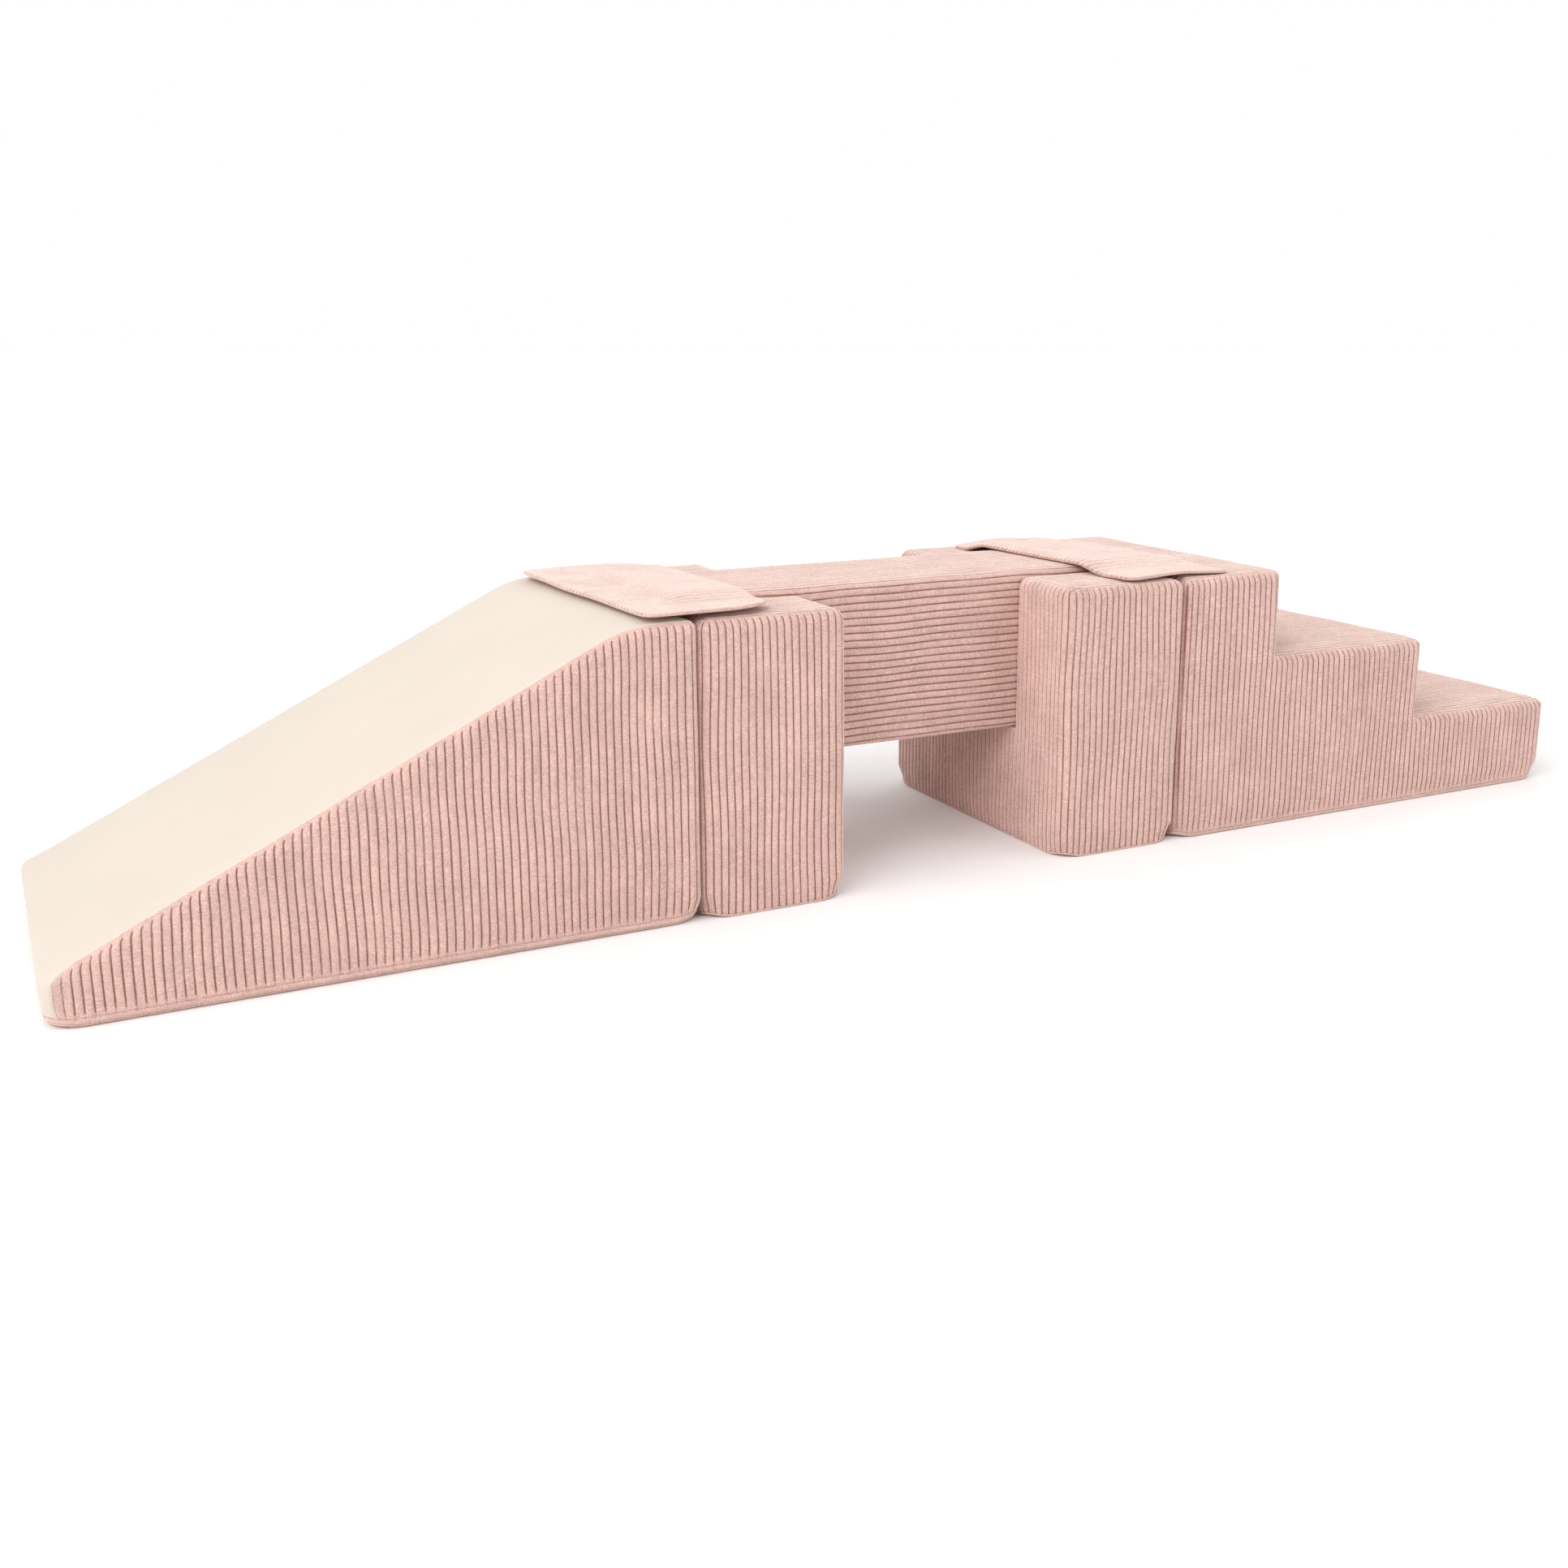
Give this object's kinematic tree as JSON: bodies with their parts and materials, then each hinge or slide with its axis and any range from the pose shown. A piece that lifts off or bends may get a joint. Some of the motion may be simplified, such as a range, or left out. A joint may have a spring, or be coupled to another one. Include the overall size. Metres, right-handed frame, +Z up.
{
  "type": "soft play climber",
  "caption": "Toddler foam climbing set in blush corduroy covers: slide wedge, notched support blocks with a bridge beam across them, steps, and hook-and-loop joining flaps",
  "frame": {"origin": "The middle of the set on the floor: the middle of its overall box in X and Y, and its underside in Z.", "axes": "+X runs along the set from the slide's toe to the lowest stair, +Y from the side seen in the picture to the far side, and +Z up from the floor."},
  "size_m": [1.8832, 0.4052, 0.3373],
  "materials": {
    "corduroy": "blush pink wide-wale corduroy",
    "cream_cloth": "smooth cream cloth",
    "base_cloth": "plain woven pink base cloth",
    "foam": "open-cell polyurethane foam",
    "hook_and_loop": "hook and loop tape",
    "zip_cloth": "coil zip on woven tape",
    "zip_metal": "cast zip slider metal"
  },
  "bodies": {
    "blocks": {"left_block_core": "foam", "left_block_cover": "corduroy", "left_block_base": "base_cloth", "left_block_zip": "zip_cloth", "right_block_core": "foam", "right_block_cover": "corduroy", "right_block_base": "base_cloth", "right_block_zip": "zip_cloth"},
    "slide": {"slide_core": "foam", "slide_cover": "corduroy", "slide_base": "base_cloth", "slide_surface": "cream_cloth", "slide_zip": "zip_cloth", "slide_loop_tape": "hook_and_loop"},
    "stairs": {"stairs_core": "foam", "stairs_cover": "corduroy", "stairs_base": "base_cloth", "stairs_zip": "zip_cloth", "stairs_loop_tape": "hook_and_loop"},
    "bridge": {"bridge_core": "foam", "bridge_cover": "corduroy", "bridge_zip": "zip_cloth", "bridge_left_loop_tape": "hook_and_loop", "bridge_right_loop_tape": "hook_and_loop"},
    "left_flap": {"left_flap": "corduroy", "left_flap_inner_hook_tape": "hook_and_loop", "left_flap_outer_hook_tape": "hook_and_loop"},
    "right_flap": {"right_flap": "corduroy", "right_flap_inner_hook_tape": "hook_and_loop", "right_flap_outer_hook_tape": "hook_and_loop"},
    "slide_zip_slider": {"slide_zip_slider": "zip_metal"},
    "slide_zip_pull": {"slide_zip_pull": "zip_metal"},
    "left_block_zip_slider": {"left_block_zip_slider": "zip_metal"},
    "left_block_zip_pull": {"left_block_zip_pull": "zip_metal"},
    "right_block_zip_slider": {"right_block_zip_slider": "zip_metal"},
    "right_block_zip_pull": {"right_block_zip_pull": "zip_metal"},
    "bridge_zip_slider": {"bridge_zip_slider": "zip_metal"},
    "bridge_zip_pull": {"bridge_zip_pull": "zip_metal"},
    "stairs_zip_slider": {"stairs_zip_slider": "zip_metal"},
    "stairs_zip_pull": {"stairs_zip_pull": "zip_metal"}
  },
  "joints": [
    {"name": "slide_pull_away", "type": "slide", "parent": "blocks", "child": "slide", "axis": [-1, 0, 0], "range_m": [0, 0.3]},
    {"name": "stairs_pull_away", "type": "slide", "parent": "blocks", "child": "stairs", "axis": [1, 0, 0], "range_m": [0, 0.3]},
    {"name": "bridge_lift", "type": "slide", "parent": "blocks", "child": "bridge", "axis": [0, 0, 1], "range_m": [0, 0.25]},
    {"name": "left_flap_peel", "type": "hinge", "parent": "bridge", "child": "left_flap", "pos_m": [-0.2124, -0.0156, 0.3324], "axis": [-0.0314, 0.9995, 0], "range_deg": [0, 120]},
    {"name": "right_flap_peel", "type": "hinge", "parent": "bridge", "child": "right_flap", "pos_m": [0.2156, -0.0156, 0.3324], "axis": [-0.0262, -0.9997, 0], "range_deg": [0, 120]},
    {"name": "slide_zip_open", "type": "slide", "parent": "slide", "child": "slide_zip_slider", "axis": [-1, 0, 0], "range_m": [0, 0.28]},
    {"name": "slide_zip_pull_turn", "type": "hinge", "parent": "slide_zip_slider", "child": "slide_zip_pull", "pos_m": [-0.3895, 0.1999, 0.03], "axis": [0, 0, -1], "range_deg": [0, 165]},
    {"name": "left_block_zip_open", "type": "slide", "parent": "blocks", "child": "left_block_zip_slider", "axis": [-1, 0, 0], "range_m": [0, 0.09]},
    {"name": "left_block_zip_pull_turn", "type": "hinge", "parent": "left_block_zip_slider", "child": "left_block_zip_pull", "pos_m": [-0.1784, 0.1999, 0.03], "axis": [0, 0, -1], "range_deg": [0, 165]},
    {"name": "right_block_zip_open", "type": "slide", "parent": "blocks", "child": "right_block_zip_slider", "axis": [-1, 0, 0], "range_m": [0, 0.09]},
    {"name": "right_block_zip_pull_turn", "type": "hinge", "parent": "right_block_zip_slider", "child": "right_block_zip_pull", "pos_m": [0.2718, 0.1999, 0.03], "axis": [0, 0, -1], "range_deg": [0, 165]},
    {"name": "bridge_zip_open", "type": "slide", "parent": "bridge", "child": "bridge_zip_slider", "axis": [-1, 0, 0], "range_m": [0, 0.18]},
    {"name": "bridge_zip_pull_turn", "type": "hinge", "parent": "bridge_zip_slider", "child": "bridge_zip_pull", "pos_m": [0.0917, 0.0929, 0.168], "axis": [0, 0, -1], "range_deg": [0, 165]},
    {"name": "stairs_zip_open", "type": "slide", "parent": "stairs", "child": "stairs_zip_slider", "axis": [-1, 0, 0], "range_m": [0, 0.4]},
    {"name": "stairs_zip_pull_turn", "type": "hinge", "parent": "stairs_zip_slider", "child": "stairs_zip_pull", "pos_m": [0.8029, 0.1999, 0.03], "axis": [0, 0, -1], "range_deg": [0, 165]}
  ]
}
